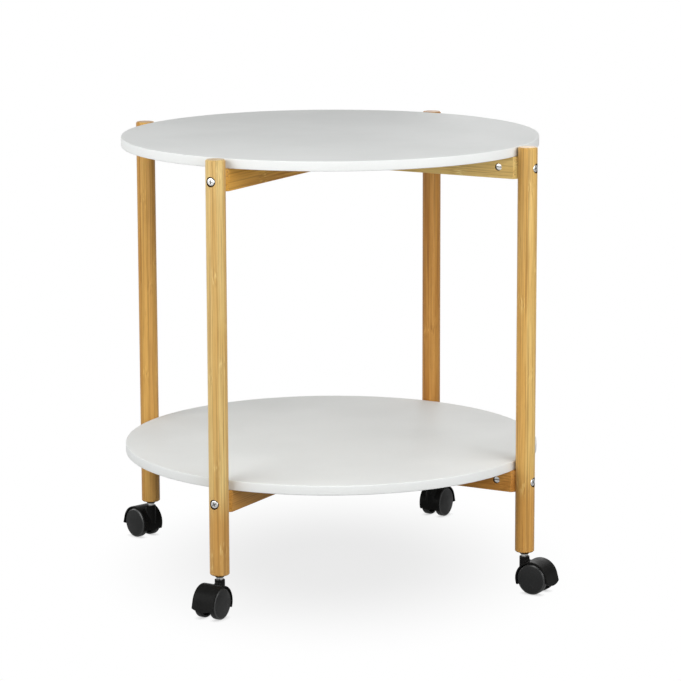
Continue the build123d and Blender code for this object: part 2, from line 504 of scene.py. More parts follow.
@dataclass(frozen=True)
class BambooStrips:
    """Laminated bamboo, its fibres along the vector's Z: strips of varied tone, fibres, seams and knuckles,
    with painted shade that darkens it below a given height.

    Lengths are in metres. A noise has its scale, its detail and how far it is drawn out along the strips.
    """

    strip_width: float = 0.0068
    strip_ratio: float = 3.3
    sway_noise: Triple = (14.0, 1.0, 0.25)
    sway: float = 0.35
    cloud_noise: Triple = (90.0, 2.0, 0.12)
    cloud_share: float = 0.9
    tone_share: float = 0.48
    least_shade: float = -0.10
    warm_share: float = 0.55
    under_shelf_shade_fade: float = 0.05
    under_shelf_shade_share: float = 0.72
    streak: Grain = Grain(1150.0, 3.0, 0.012, 0.50, 0.72, 0.46)
    dash: Grain = Grain(2300.0, 2.0, 0.035, 0.60, 0.78, 0.42)
    line: Grain = Grain(430.0, 3.0, 0.010, 0.53, 0.66, 0.44)
    seam_zone: Span = (0.44, 0.5)
    seam_share: float = 0.22
    knuckle_pitch: float = 0.21
    knuckle_shift: float = 7.0
    knuckle_zone: Span = (0.075, 0.01)
    pale_fleck: Grain = Grain(900.0, 2.0, 0.10, 0.54, 0.70, 0.75)
    dark_fleck: Grain = Grain(900.0, 2.0, 0.10, 0.46, 0.30, 0.45)
    roughness: float = 0.26
    cloud_roughness: float = 0.10
    streak_roughness: float = 0.10
    streak_relief: float = -0.6
    seam_relief: float = -0.8

    def build(self) -> NodeTree:
        """Make the group; one input is the height below which painted shade darkens the wood towards its warm
        tone.

        Returns:
            The group's tree.
        """
        tones = dict.fromkeys(("Light", "Dark", "Warm", "Fibre"), "Color")
        inputs = {"Vector": "Vector", **tones, "Shade Height": "Float"}
        sheet = new_group("bamboo_strips", "ShaderNodeTree", inputs, SURFACE)
        given = sheet.add("NodeGroupInput").outputs
        vector = given["Vector"]
        place = sheet.add("ShaderNodeSeparateXYZ", {0: vector}).outputs
        across = sheet.math("DIVIDE", place["X"], self.strip_width)
        across = sheet.math("MULTIPLY_ADD", sheet.noise(vector, *self.sway_noise), self.sway, across)
        deep = sheet.math("DIVIDE", place["Y"], self.strip_width * self.strip_ratio)
        numbers = {0: sheet.math("FLOOR", across), 1: sheet.math("FLOOR", deep)}
        strip = sheet.add("ShaderNodeCombineXYZ", numbers).outputs[0]
        chance = sheet.add("ShaderNodeTexWhiteNoise", {0: strip}, noise_dimensions="3D").outputs
        tone = chance["Value"]
        warmth = sheet.add("ShaderNodeSeparateColor", {0: chance["Color"]}).outputs["Green"]
        cloud = sheet.noise(vector, *self.cloud_noise)
        shade = sheet.math("MULTIPLY_ADD", cloud, self.cloud_share, self.least_shade)
        shade = sheet.math("MULTIPLY_ADD", tone, self.tone_share, shade)
        # Painted shade: below the given height, where the shelf shades the legs, the wood darkens towards its
        # warm tone.
        under_shelf_shade = sheet.between(place["Z"], given["Shade Height"], sheet.math("SUBTRACT", given["Shade Height"], self.under_shelf_shade_fade))
        streak = self.streak.mask(sheet, vector)
        seam = sheet.between(sheet.off_centre(across), *self.seam_zone)
        along = sheet.math("DIVIDE", place["Z"], self.knuckle_pitch)
        along = sheet.math("MULTIPLY_ADD", tone, self.knuckle_shift, along)
        knuckle = sheet.between(sheet.off_centre(along), *self.knuckle_zone)
        layers = [
            (warmth, self.warm_share, "Warm"),
            (under_shelf_shade, self.under_shelf_shade_share, "Warm"),
            (streak, self.streak.strength, "Fibre"),
            (self.dash.mask(sheet, vector), self.dash.strength, "Fibre"),
            (self.line.mask(sheet, vector), self.line.strength, "Fibre"),
            (seam, self.seam_share, "Fibre"),
        ]
        for fleck, name in ((self.pale_fleck, "Light"), (self.dark_fleck, "Fibre")):
            mask = sheet.math("MULTIPLY", fleck.mask(sheet, vector), knuckle)
            layers.append((mask, fleck.strength, name))
        colour = sheet.mix(shade, given["Light"], given["Dark"])
        for mask, strength, name in layers:
            colour = sheet.mix(sheet.math("MULTIPLY", mask, strength), colour, given[name])
        rough = sheet.math("MULTIPLY_ADD", cloud, self.cloud_roughness, self.roughness)
        rough = sheet.math("MULTIPLY_ADD", streak, self.streak_roughness, rough)
        relief = sheet.math("MULTIPLY", seam, self.seam_relief)
        relief = sheet.math("MULTIPLY_ADD", streak, self.streak_relief, relief)
        sheet.add("NodeGroupOutput", {"Color": colour, "Roughness": rough, "Height": relief})
        return sheet.tree


@dataclass(frozen=True)
class SurfaceMottle:
    """Small unevenness of a sprayed, moulded or plated surface, in its colour, its sheen and its height."""

    patch_detail: float = 4.0
    grain_detail: float = 2.0
    patch_share: float = 0.7
    grain_share: float = 0.3
    blend: Span = (0.35, 0.65)

    def build(self) -> NodeTree:
        """Make the group.

        Returns:
            The group's tree.
        """
        numbers = dict.fromkeys(("Patch Scale", "Grain Scale", "Sheen", "Sheen Spread"), "Float")
        inputs = {"Vector": "Vector", "Light": "Color", "Dark": "Color", **numbers}
        sheet = new_group("surface_mottle", "ShaderNodeTree", inputs, SURFACE)
        given = sheet.add("NodeGroupInput").outputs
        patch = sheet.noise(given["Vector"], given["Patch Scale"], self.patch_detail)
        grain = sheet.noise(given["Vector"], given["Grain Scale"], self.grain_detail)
        both = sheet.math("MULTIPLY", patch, self.patch_share)
        both = sheet.math("MULTIPLY_ADD", grain, self.grain_share, both)
        share = sheet.between(both, *self.blend)
        spread = sheet.math("MULTIPLY", given["Sheen Spread"], sheet.math("SUBTRACT", share, 0.5))
        results = {
            "Color": sheet.mix(share, given["Light"], given["Dark"]),
            "Roughness": sheet.math("ADD", given["Sheen"], spread),
            "Height": grain,
        }
        sheet.add("NodeGroupOutput", results)
        return sheet.tree


# Finishes


@dataclass(frozen=True)
class Finish:
    """A surface whose colour, sheen and height come from a shared group."""

    name: str
    light: Colour
    dark: Colour
    metal: float = 0.0
    gloss: float = 0.5
    bump: float = 0.05
    bump_depth: float = 0.0002

    def values(self) -> Inputs:
        """The group's own inputs for this finish."""
        return {"Light": (*self.light, 1.0), "Dark": (*self.dark, 1.0)}

    def build(self, group: NodeTree, turn: Triple = (0, 0, 0)) -> Material:
        """Make the material.

        Args:
            group: the shared effect that colours the surface.
            turn: degrees about X, Y and Z that turn the pattern.

        Returns:
            The material.
        """
        material = bpy.data.materials.new(self.name)
        material.use_nodes = True
        sheet = Sheet(material.node_tree)
        place = sheet.add("ShaderNodeTexCoord").outputs["Object"]
        angles = tuple(math.radians(angle) for angle in turn)
        mapped = sheet.add("ShaderNodeMapping", {"Vector": place, "Rotation": angles}).outputs[0]
        effect = sheet.add("ShaderNodeGroup", self.values() | {"Vector": mapped}, node_tree=group)
        heights = {"Height": effect.outputs["Height"], "Strength": self.bump, "Distance": self.bump_depth}
        relief = sheet.add("ShaderNodeBump", heights)
        looks = {
            "Base Color": effect.outputs["Color"],
            "Roughness": effect.outputs["Roughness"],
            "Metallic": self.metal,
            "Specular IOR Level": self.gloss,
            "Normal": relief.outputs[0],
        }
        surface = sheet.add("ShaderNodeBsdfPrincipled", looks)
        sheet.add("ShaderNodeOutputMaterial", {"Surface": surface.outputs[0]})
        return material


@dataclass(frozen=True)
class Bamboo(Finish):
    """Varnished bamboo strips."""

    warm: Colour = (0.56, 0.27, 0.062)
    fibre: Colour = (0.24, 0.098, 0.018)
    tint: Colour = (1.0, 1.0, 1.0)
    shade_height: float = NO_SHELF_SHADE

    def values(self) -> Inputs:
        """The group's inputs, with the piece's tint, which is partly its wood's own tone and partly painted
        light and shade.

        Returns:
            The strips' tinted colours and the height below which painted shade falls on them.
        """
        tones = {"Light": self.light, "Dark": self.dark, "Warm": self.warm, "Fibre": self.fibre}
        tinted = {name: (*(a * b for a, b in zip(tone, self.tint)), 1.0) for name, tone in tones.items()}
        return tinted | {"Shade Height": self.shade_height}


@dataclass(frozen=True)
class Coated(Finish):
    """A sprayed, moulded or plated surface."""

    patch_scale: float = 12.0
    grain_scale: float = 900.0
    sheen: float = 0.4
    sheen_spread: float = 0.1

    def values(self) -> Inputs:
        """The mottle's colours, scales and sheen."""
        scales = {"Patch Scale": self.patch_scale, "Grain Scale": self.grain_scale}
        return super().values() | scales | {"Sheen": self.sheen, "Sheen Spread": self.sheen_spread}


class Palette:
    """All the table's finishes, made once."""

    def __init__(self) -> None:
        """Make the woods, then the coats."""
        self.legs: dict[Corner, Material] = {}
        self.rails: dict[tuple[Level, Run], Material] = {}
        self._make_woods()
        self._make_coats()

    def _make_woods(self) -> None:
        """Make each leg's and each rail's bamboo, in one of two tones, tinted partly for its own wood and
        partly to paint light and shade.
        """
        strips = BambooStrips().build()
        # The pale and brown tones and each piece's tint are partly the wood's own variation and partly
        # painted light and shade, darker on the back legs and the lower rails, which stand more in shade.
        pale = (0.84, 0.64, 0.27), (0.60, 0.345, 0.09)
        brown = (0.76, 0.45, 0.12), (0.44, 0.20, 0.034)
        under_shelf_shade = 0.15
        # Tones, tint, turn of the pattern in degrees, and the height below which painted shade darkens the
        # leg under the shelf
        leg_woods_and_light = {
            Corner.FRONT_LEFT: (pale, (0.95, 0.98, 1.02), 22, under_shelf_shade),
            Corner.FRONT_RIGHT: (pale, (1.01, 0.99, 0.89), 24, under_shelf_shade),
            Corner.BACK_LEFT: (brown, (1.04, 1.09, 1.19), 12, NO_SHELF_SHADE),
            Corner.BACK_RIGHT: (brown, (0.87, 0.79, 0.75), 28, under_shelf_shade),
        }
        for corner, (tones, tint, turn, shade_height) in leg_woods_and_light.items():
            name = f"bamboo_{corner.value}_leg"
            bamboo = Bamboo(name, *tones, gloss=0.25, bump=0.25, tint=tint, shade_height=shade_height)
            self.legs[corner] = bamboo.build(strips, (0, 0, turn))
        rail_woods_and_light = {
            (Level.UPPER, Run.A): (pale, (1.11, 1.00, 0.60)),
            # Upper rail B's strong tint paints light onto its face, where the top panel shades it.
            (Level.UPPER, Run.B): (pale, (1.18, 1.40, 1.56)),
            (Level.LOWER, Run.A): (brown, (0.98, 0.92, 0.80)),
            (Level.LOWER, Run.B): (brown, (1.13, 1.02, 0.95)),
        }
        for (level, run), (tones, tint) in rail_woods_and_light.items():
            name = f"bamboo_{level.value}_rail_{run.value}"
            bamboo = Bamboo(name, *tones, gloss=0.15, bump=0.25, tint=tint)
            self.rails[level, run] = bamboo.build(strips, (90, -run.bearing, 0))

    def _make_coats(self) -> None:
        """Make the finishes of all that isn't bamboo, and of the bores in it; the bores' and the recesses'
        dark colours paint the shade inside them.
        """
        mottle = SurfaceMottle().build()
        plated = {"metal": 1.0, "patch_scale": 260.0, "grain_scale": 3000.0}
        wheels = {"patch_scale": 70.0, "grain_scale": 1800.0}
        # The bores' very dark brown is partly the cut wood's own darker tone and mostly painted shade inside
        # the counterbores, nut holes and screw wells.
        self.bore = Coated(
            "bamboo_bores_painted_shade", (0.10, 0.050, 0.016), (0.05, 0.025, 0.008),
            gloss=0.1, bump=0.3, patch_scale=400.0, grain_scale=3000.0, sheen=0.7,
        ).build(mottle)
        self.lacquer = Coated(
            "white_lacquer", (0.785, 0.799, 0.789), (0.755, 0.769, 0.759),
            gloss=0.04, bump=0.04, patch_scale=9.0, grain_scale=700.0, sheen=0.50, sheen_spread=0.08,
        ).build(mottle)
        self.steel = Coated(
            "zinc_plate", (0.80, 0.80, 0.78), (0.66, 0.66, 0.65), sheen=0.26, sheen_spread=0.16, **plated
        ).build(mottle)
        # The recesses' dark zinc is painted shade inside the cross recesses and the nut slots.
        self.recess = Coated(
            "zinc_recesses_painted_shade", (0.24, 0.24, 0.235), (0.14, 0.14, 0.135), sheen=0.5, **plated
        ).build(mottle)
        self.pin = Coated(
            "polished_pins", (0.66, 0.66, 0.65), (0.54, 0.54, 0.53),
            bump=0.02, sheen=0.12, sheen_spread=0.06, **plated,
        ).build(mottle)
        self.hood = Coated(
            "hood_nylon", (0.0100, 0.0100, 0.0096), (0.0075, 0.0075, 0.0072),
            gloss=0.045, bump=0.16, bump_depth=0.0001, patch_scale=90.0, grain_scale=2600.0, sheen=0.36,
        ).build(mottle)
        self.wheel = Coated(
            "wheel_nylon", (0.020, 0.0205, 0.0205), (0.0145, 0.015, 0.015),
            gloss=0.16, bump=0.10, bump_depth=0.0001, sheen_spread=0.12, **wheels,
        ).build(mottle)
        # The bevels' glossier finish is their own; its slightly lighter colour paints part of the highlight
        # along the rim.
        self.bevel_gloss_and_highlight = Coated(
            "wheel_bevels_gloss_and_painted_highlight", (0.026, 0.0265, 0.0265), (0.020, 0.0205, 0.0205), gloss=0.6, sheen=0.30, **wheels
        ).build(mottle)
        self.socket = Coated(
            "socket_plastic", (0.014, 0.013, 0.012), (0.010, 0.009, 0.008),
            gloss=0.2, patch_scale=120.0, grain_scale=2600.0, sheen=0.5,
        ).build(mottle)


# Repeats


@dataclass(frozen=True)
class Ring:
    """How copies stand on a circle: their number, place and turn, in millimetres and degrees."""

    count: int
    radius: float
    height: float
    first_angle: float = 0.0
    turn_repeat: int = 0
    turn_spread: float = 0.0
    roll_spread: float = 0.0
    seed: int = 1


class RingOfCopies:
    """A node tree that sets copies of a unit on a circle, each turned outwards, and gives them a finish."""

    def __init__(self) -> None:
        """Build the tree."""
        counts = dict.fromkeys(("Count", "Turn Repeat", "Seed"), "Int")
        numbers = dict.fromkeys(("Radius", "Height", "First Angle", "Turn Spread", "Roll Spread"), "Float")
        inputs = {"Unit": "Geometry", **counts, **numbers, "Finish": "Material"}
        sheet = new_group("ring_of_copies", "GeometryNodeTree", inputs, {"Copies": "Geometry"})
        given = sheet.add("NodeGroupInput").outputs
        index = sheet.add("GeometryNodeInputIndex").outputs[0]
        pitch = sheet.math("DIVIDE", math.tau, given["Count"])
        angle = sheet.math("MULTIPLY_ADD", index, pitch, given["First Angle"])
        across = sheet.math("MULTIPLY", sheet.math("COSINE", angle), given["Radius"])
        along = sheet.math("MULTIPLY", sheet.math("SINE", angle), given["Radius"])
        place = sheet.add("ShaderNodeCombineXYZ", {0: across, 1: along, 2: given["Height"]}).outputs[0]
        points = sheet.add("GeometryNodePoints", {"Count": given["Count"], "Position": place})
        step = sheet.math("MODULO", index, given["Turn Repeat"])
        turn = sheet.math("MULTIPLY_ADD", step, pitch, given["First Angle"])
        turn = sheet.math("ADD", turn, self._chance(sheet, given["Turn Spread"], given["Seed"]))
        seed = sheet.math("ADD", given["Seed"], 1)
        roll = self._chance(sheet, given["Roll Spread"], seed)
        angles = sheet.add("ShaderNodeCombineXYZ", {0: roll, 2: turn}).outputs[0]
        facing = sheet.add("FunctionNodeEulerToRotation", {0: angles}).outputs[0]
        copies = {"Points": points.outputs[0], "Instance": given["Unit"], "Rotation": facing}
        placed = sheet.add("GeometryNodeInstanceOnPoints", copies)
        real = sheet.add("GeometryNodeRealizeInstances", {0: placed.outputs[0]}).outputs[0]
        mark = sheet.add("GeometryNodeInputMaterialIndex").outputs[0]
        plain = sheet.math("LESS_THAN", mark, 0.5)
        surfaces = {"Geometry": real, "Selection": plain, "Material": given["Finish"]}
        dressed = sheet.add("GeometryNodeSetMaterial", surfaces)
        sheet.add("NodeGroupOutput", {"Copies": dressed.outputs[0]})
        self.tree = sheet.tree

    @staticmethod
    def _chance(sheet: Sheet, spread: Socket, seed: Socket) -> Socket:
        """A random angle.

        Args:
            sheet: the sheet it is worked out on.
            spread: how far the angle goes either way.
            seed: what the chance depends on.

        Returns:
            The angle of each copy.
        """
        least = sheet.math("MULTIPLY", spread, -1.0)
        node = sheet.add("FunctionNodeRandomValue", data_type="FLOAT")
        sockets = {socket.name: socket for socket in node.inputs if socket.enabled}
        for name, value in {"Min": least, "Max": spread, "Seed": seed}.items():
            sheet.tree.links.new(value, sockets[name])
        return next(socket for socket in node.outputs if socket.enabled)

    def run(self, unit: Mesh, ring: Ring, finish: Material) -> Mesh:
        """Make the copies.

        Args:
            unit: the shape to repeat, facing +X; it is used up.
            ring: how the copies stand.
            finish: the copies' material.

        Returns:
            One plain mesh of all the copies.
        """
        holder = put("repeating", unit)
        step = holder.modifiers.new("repeat", "NODES")
        step.node_group = self.tree
        values = {
            "Count": ring.count,
            "Radius": ring.radius,
            "Height": ring.height,
            "First Angle": math.radians(ring.first_angle),
            "Turn Repeat": ring.turn_repeat or ring.count,
            "Turn Spread": math.radians(ring.turn_spread),
            "Roll Spread": math.radians(ring.roll_spread),
            "Seed": ring.seed,
            "Finish": finish,
        }
        for socket in self.tree.interface.items_tree:
            if socket.name in values:
                step[socket.identifier] = values[socket.name]
        return made_by(holder)


# Pieces


@dataclass(frozen=True)
class Piece:
    """A finished mesh that stands for nodes of the construction and moves with one of its bodies."""

    name: str
    mesh: Mesh
    slot: Slot
    body: str
    nodes: tuple[str, ...]

    def settle(self) -> None:
        """Put the piece into the scene, in metres, in place of its nodes."""
        self.mesh.name = self.name
        self.mesh.transform(Matrix.Scale(MM, 4))
        piece = put(self.name, self.mesh)
        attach(piece, self.body)
        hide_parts(*self.nodes)
        LOG.info("%s rides on %s with %d faces", self.name, self.body, len(self.mesh.polygons))


def dress_node(node: str, finish: Material) -> None:
    """Give a node of the construction that stays in view its finish.

    Args:
        node: the node's name.
        finish: its material.
    """
    shown = frame["nodes"][node]
    for place in shown.material_slots:
        place.material = finish
    LOG.info("%s keeps its construction", node)


@dataclass(frozen=True)
class Panel:
    """A round lacquered board with eased edges."""

    palette: Palette
    node: str
    edge_round: float = 1.0
    segments: int = 288

    def board(self) -> Mesh:
        """The board, as wide and thick as the construction says.

        Returns:
            Its finished mesh.
        """
        low, high = corners_of(self.node)
        radius = (high.x - low.x) / 2
        edge = [(radius, height, self.edge_round) for height in (low.z, high.z)]
        board = turned(eased([(0, low.z, 0), *edge, (0, high.z, 0)]), self.segments)
        return finished(shaded(board), self.palette.lacquer)

    def dress(self) -> None:
        """Settle the board."""
        Piece(f"{self.node}_board", self.board(), Slot.PANEL, "frame", (self.node,)).settle()


@dataclass(frozen=True)
class Leg:
    """A round bamboo leg with chamfered ends, counterbored for its bolts."""

    palette: Palette
    corner: Corner
    bolt_heights: tuple[float, ...]
    end_chamfer: float = 1.2
    counterbore_d: float = 11.2
    counterbore_depth: float = 4.0
    segments: int = 96

    @property
    def node(self) -> str:
        """The leg's name in the construction."""
        return f"{self.corner.value}_leg"

    def axis(self) -> Vector:
        """Where the leg's axis meets the floor."""
        low, high = corners_of(self.node)
        return Vector(((low.x + high.x) / 2, (low.y + high.y) / 2, 0))

    def place(self) -> Matrix:
        """From the leg's own axis, +X outwards, to its corner."""
        axis = self.axis()
        return Matrix.Translation(axis) @ Matrix.Rotation(math.atan2(axis.y, axis.x), 4, "Z")

    def shaft(self) -> Mesh:
        """The rod with its counterbores.

        Returns:
            Its finished mesh.
        """
        low, high = corners_of(self.node)
        radius = (high.x - low.x) / 2
        shaft = rod(radius, low.z, high.z, self.end_chamfer, self.segments)
        # The second finish, for the counterbores, is the dark bore finish: painted shade inside them.
        shaft = finished(shaft, self.palette.legs[self.corner], self.palette.bore)
        for height in self.bolt_heights:
            tool = rod(self.counterbore_d / 2, radius - self.counterbore_depth, 2 * radius)
            shaft = joined(shaft, moved(tool, lying(90, "Y", (0, 0, height))), Join.CUT, mark=1)
        return moved(shaded(shaft), self.place())

    def dress(self) -> None:
        """Settle the leg."""
        Piece(f"{self.node}_rod", self.shaft(), Slot.BAMBOO, "frame", (self.node,)).settle()


@dataclass(frozen=True)
class Foot:
    """The plastic socket in a leg's foot and the bare steel pin below it."""

    palette: Palette
    leg: Leg
    flange_d: float = 12.6
    flange_tip_d: float = 9.6
    flange_h: float = 2.8
    tip_round: float = 0.3
    lip_h: float = 0.5
    lip_round: float = 0.25
    sleeve_d: float = 10.6
    bore_d: float = 8.1
    pin_d: float = 8.0
    pin_chamfer: float = 0.6
    segments: int = 64

    def socket(self, node: str) -> Mesh:
        """The sleeve with its tapered flange, lip and all.

        Args:
            node: the socket's name in the construction.

        Returns:
            Its finished mesh.
        """
        low, high = corners_of(node)
        lip = low.z + self.flange_h
        corners = [
            (self.bore_d / 2, low.z, 0),
            (self.flange_tip_d / 2, low.z, self.tip_round),
            (self.flange_d / 2, lip - self.lip_h, self.lip_round),
            (self.flange_d / 2, lip, 0),
            (self.sleeve_d / 2, lip, 0),
            (self.sleeve_d / 2, high.z, 0),
            (self.bore_d / 2, high.z, 0),
        ]
        sleeve = shaded(turned(eased(corners), self.segments, ring=True))
        return finished(moved(sleeve, self.leg.place()), self.palette.socket)

    def pin(self, node: str) -> Mesh:
        """The stem, chamfered at both ends.

        Args:
            node: the stem's name in the construction.

        Returns:
            Its finished mesh.
        """
        low, high = corners_of(node)
        pin = shaded(rod(self.pin_d / 2, low.z, high.z, self.pin_chamfer, self.segments))
        return finished(moved(pin, self.leg.place()), self.palette.pin)

    def dress(self) -> None:
        """Settle the socket and the stem."""
        socket = f"{self.leg.corner.value}_socket"
        stem = f"{self.leg.corner.value}_stem"
        Piece(f"{socket}_sleeve", self.socket(socket), Slot.SOCKET, "frame", (socket,)).settle()
        Piece(f"{stem}_pin", self.pin(stem), Slot.STEEL, "frame", (stem,)).settle()


@dataclass(frozen=True)
class Rail:
    """A bamboo bar under a panel, hollowed at its ends to seat on its legs and notched to cross its pair."""

    palette: Palette
    level: Level
    run: Run
    leg_circle: float
    leg_r: float = 11.0
    width: float = 18.0
    end_chamfer: float = 4.0
    edge_round: float = 0.8
    edge_steps: int = 4
    seat_gap: float = 0.05
    seat_steps: int = 12
    lap_gap: float = 0.1
    nut_inset: float = 32.0
    nut_hole_d: float = 8.1
    nut_hole_floor: float = 1.4
    well_reach: float = 130.0
    well_d: float = 7.4
    well_depth: float = 5.0

    @property
    def node(self) -> str:
        """The rail's name in the construction."""
        return f"{self.level.value}_rail_{self.run.value}"

    def plan(self, inset: float) -> Outline:
        """The bar's outline from above.

        Args:
            inset: how far its sides and chamfers are drawn in.

        Returns:
            The outline's points in order.
        """
        half = self.width / 2 - inset
        seat = self.leg_r + self.seat_gap
        end_half = self.width / 2 - self.end_chamfer
        short = math.sqrt(self.leg_r**2 - end_half**2) - end_half + inset * math.sqrt(2)
        touch = (math.sqrt(2 * seat**2 - short**2) - short) / 2
        sweep = math.asin(touch / seat)
        shoulder = self.leg_circle - short - half
        turns = [math.pi - sweep + 2 * sweep * step / self.seat_steps for step in range(self.seat_steps + 1)]
        hollow = [(self.leg_circle + seat * math.cos(a), seat * math.sin(a)) for a in turns]
        end = [(shoulder, half), *hollow, (shoulder, -half)]
        return end + [(-x, -y) for x, y in end]

    def bar(self) -> Mesh:
        """The bar with its notch, nut holes and screw wells.

        Returns:
            Its finished mesh.
        """
        low, high = corners_of(self.node)
        arcs = [math.radians(90 * step / self.edge_steps) for step in range(self.edge_steps + 1)]
        ease = [(self.edge_round * (1 - math.sin(a)), self.edge_round * (1 - math.cos(a))) for a in arcs]
        rows = [(inset, low.z + rise) for inset, rise in ease]
        rows += [(inset, high.z - rise) for inset, rise in reversed(ease)]
        body = lofted([[Vector((x, y, z)) for x, y in self.plan(inset)] for inset, z in rows])
        body = finished(body, self.palette.rails[self.level, self.run], self.palette.bore)
        lap = (high.z - low.z + self.lap_gap) / 2
        notch = bar(Vector((self.width + 2 * self.lap_gap, 2 * self.width, 2 * lap)))
        foot = high.z - lap if self.run is Run.B else low.z - lap
        body = joined(body, moved(notch, Matrix.Translation((0, 0, foot))), Join.CUT)
        middle = (low.z + high.z) / 2
        tools = []
        for end in (-1, 1):
            hole = rod(self.nut_hole_d / 2, self.nut_hole_floor - self.width / 2, self.width)
            nut_at = (end * (self.leg_circle - self.nut_inset), 0, middle)
            tools.append(moved(hole, lying(-90 * self.run.hand, "X", nut_at)))
            well = rod(self.well_d / 2, low.z - self.well_depth, low.z + self.well_depth)
            tools.append(moved(well, Matrix.Translation((end * self.well_reach, 0, 0))))
        # The nut holes and screw wells take the dark bore finish: painted shade inside them.
        body = joined(body, gathered(tools), Join.CUT, mark=1)
        return moved(shaded(body), about_z(self.run.bearing))

    def dress(self) -> None:
        """Settle the bar."""
        Piece(f"{self.node}_bar", self.bar(), Slot.BAMBOO, "frame", (self.node,)).settle()


@dataclass(frozen=True)
class Fasteners:
    """A level's bolts through the legs, barrel nuts across the rails and screws up into the panel.

    A cross is its recess's span, width, depth and draft.
    """

    palette: Palette
    copies: RingOfCopies
    level: Level
    leg_circle: float
    seed: int
    bolt_d: float = 5.0
    bolt_len: float = 50.0
    bolt_seat: float = 7.0
    bolt_tip_round: float = 0.6
    bolt_cross: tuple[float, ...] = (5.2, 1.1, 1.6, 0.2)
    head_d: float = 9.4
    head_h: float = 3.2
    head_round: float = 1.4
    head_foot_round: float = 0.25
    nut_d: float = 8.0
    nut_len: float = 15.0
    nut_inset: float = 32.0
    nut_end_round: float = 0.4
    nut_face_round: float = 0.5
    nut_slot_w: float = 1.2
    nut_slot_depth: float = 1.0
    screw_d: float = 3.5
    screw_len: float = 27.5
    screw_tip: float = 2.0
    screw_cross: tuple[float, ...] = (3.6, 0.9, 1.3, 0.15)
    screw_head_d: float = 7.0
    screw_head_h: float = 2.4
    screw_face_margin: float = 0.6
    screw_face_round: float = 0.8
    screw_rim_h: float = 0.5
    screw_rim_round: float = 0.4
    screw_reach: float = 130.0
    screw_sink: float = 5.0
    segments: int = 48

    def _cut(self, corners: Sequence[Triple], tool: Mesh) -> Mesh:
        """Turn a fastener and cut its recess, whose faces take the dark recess finish that paints the shade
        inside it.

        Args:
            corners: its outline's corners and the radius that rounds each.
            tool: the recess's shape.

        Returns:
            The finished mesh.
        """
        body = finished(turned(eased(corners), self.segments), self.palette.steel, self.palette.recess)
        return joined(body, tool, Join.CUT, mark=1)

    def bolt(self) -> Mesh:
        """A pan-head bolt along X, its head outwards and seated at the origin, with a cross recess.

        Returns:
            Its finished mesh.
        """
        shank = self.bolt_d / 2
        head = self.head_d / 2
        corners = [
            (0, -self.bolt_len, 0),
            (shank, -self.bolt_len, self.bolt_tip_round),
            (shank, 0, 0),
            (head, 0, self.head_foot_round),
            (head, self.head_h, self.head_round),
            (0, self.head_h, 0),
        ]
        recess = moved(cross_recess(*self.bolt_cross), Matrix.Translation((0, 0, self.head_h)))
        return moved(self._cut(corners, recess), lying(90, "Y"))

    def nut(self) -> Mesh:
        """A barrel nut along Y, with a slot in its +Y end.

        Returns:
            Its finished mesh.
        """
        half = self.nut_len / 2
        radius = self.nut_d / 2
        corners = [
            (0, -half, 0),
            (radius, -half, self.nut_end_round),
            (radius, half, self.nut_face_round),
            (0, half, 0),
        ]
        slot = bar(Vector((2 * self.nut_d, self.nut_slot_w, 2 * self.nut_slot_depth)))
        slot = moved(slot, Matrix.Translation((0, 0, half - self.nut_slot_depth)))
        return moved(self._cut(corners, slot), lying(-90, "X"))

    def screw(self) -> Mesh:
        """A wood screw pointing up, its head seated at the origin, with a cross recess underneath.

        Returns:
            Its finished mesh.
        """
        shank = self.screw_d / 2
        head = self.screw_head_d / 2
        corners = [
            (0, -self.screw_head_h, 0),
            (shank + self.screw_face_margin, -self.screw_head_h, self.screw_face_round),
            (head, -self.screw_rim_h, self.screw_rim_round),
            (head, 0, 0),
            (shank, 0, 0),
            (shank, self.screw_len - self.screw_tip, 0),
            (0, self.screw_len, 0),
        ]
        recess = moved(cross_recess(*self.screw_cross), lying(180, "X", (0, 0, -self.screw_head_h)))
        return self._cut(corners, recess)

    def dress(self) -> None:
        """Settle the level's three sets."""
        low, high = corners_of(f"{self.level.value}_rail_{Run.A.value}")
        middle = (low.z + high.z) / 2
        first = Run.A.bearing
        bolts = Ring(4, self.leg_circle + self.bolt_seat, middle, first, roll_spread=180, seed=self.seed)
        nuts = Ring(4, self.leg_circle - self.nut_inset, middle, first, turn_repeat=2)
        screws = Ring(4, self.screw_reach, low.z + self.screw_sink, first, turn_spread=180, seed=self.seed)
        sets = {
            "leg_bolts": (self.bolt(), bolts),
            "barrel_nuts": (self.nut(), nuts),
            "panel_screws": (self.screw(), screws),
        }
        for kind, (unit, ring) in sets.items():
            node = f"{self.level.value}_{kind}"
            mesh = shaded(self.copies.run(unit, ring, self.palette.steel))
            Piece(f"{node}_set", mesh, Slot.STEEL, "frame", (node,)).settle()


